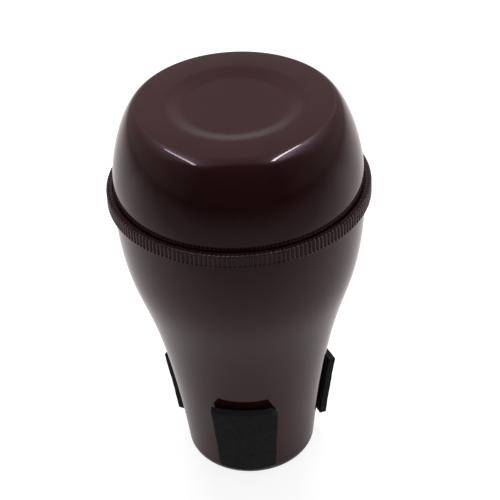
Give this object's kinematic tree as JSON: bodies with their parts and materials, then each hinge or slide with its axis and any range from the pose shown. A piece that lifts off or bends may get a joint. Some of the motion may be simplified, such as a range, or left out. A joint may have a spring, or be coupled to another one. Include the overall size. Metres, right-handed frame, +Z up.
{
  "type": "trombone straight mute",
  "caption": "Flared straight mute for a trombone: open-necked shell with curved foam pads, and a domed end cap held on by a knurled screw ring.",
  "frame": {"origin": "middle of the neck's open end, in the plane that the mute stands on", "axes": "+Z up the mute's axis from the open neck to the closed end cap; -Y towards the front, where the long foam pad is; +X to the right seen from the front"},
  "size_m": [0.1174, 0.1174, 0.189],
  "materials": {
    "moulded_shell": "polished dark maroon ABS",
    "moulded_cap": "polished dark maroon ABS",
    "moulded_ring": "dark maroon ABS with fine upright ribs",
    "seal_rubber": "black nitrile rubber",
    "pad_foam": "matt black fine-celled foam rubber",
    "adhesive_film": "black double-sided adhesive film"
  },
  "bodies": {
    "body": {"body_shell": "moulded_shell", "pad_front": "pad_foam", "pad_right": "pad_foam", "pad_left": "pad_foam", "pad_film_front": "adhesive_film", "pad_film_right": "adhesive_film", "pad_film_left": "adhesive_film"},
    "cap": {"end_cap": "moulded_cap", "sealing_ring": "seal_rubber"},
    "ring": {"knurled_ring": "moulded_ring"}
  },
  "joints": [
    {"name": "cap_lift", "type": "slide", "parent": "body", "child": "cap", "axis": [0, 0, 1], "range_m": [0, 0.00147]},
    {"name": "ring_turn", "type": "hinge", "parent": "cap", "child": "ring", "pos_m": [0, 0, 0.14845], "axis": [0, 0, 1], "range_deg": [0, 330]}
  ],
  "couplings": [
    {"joint": "ring_turn", "follows": "cap_lift", "rad_per_m": 3927}
  ]
}
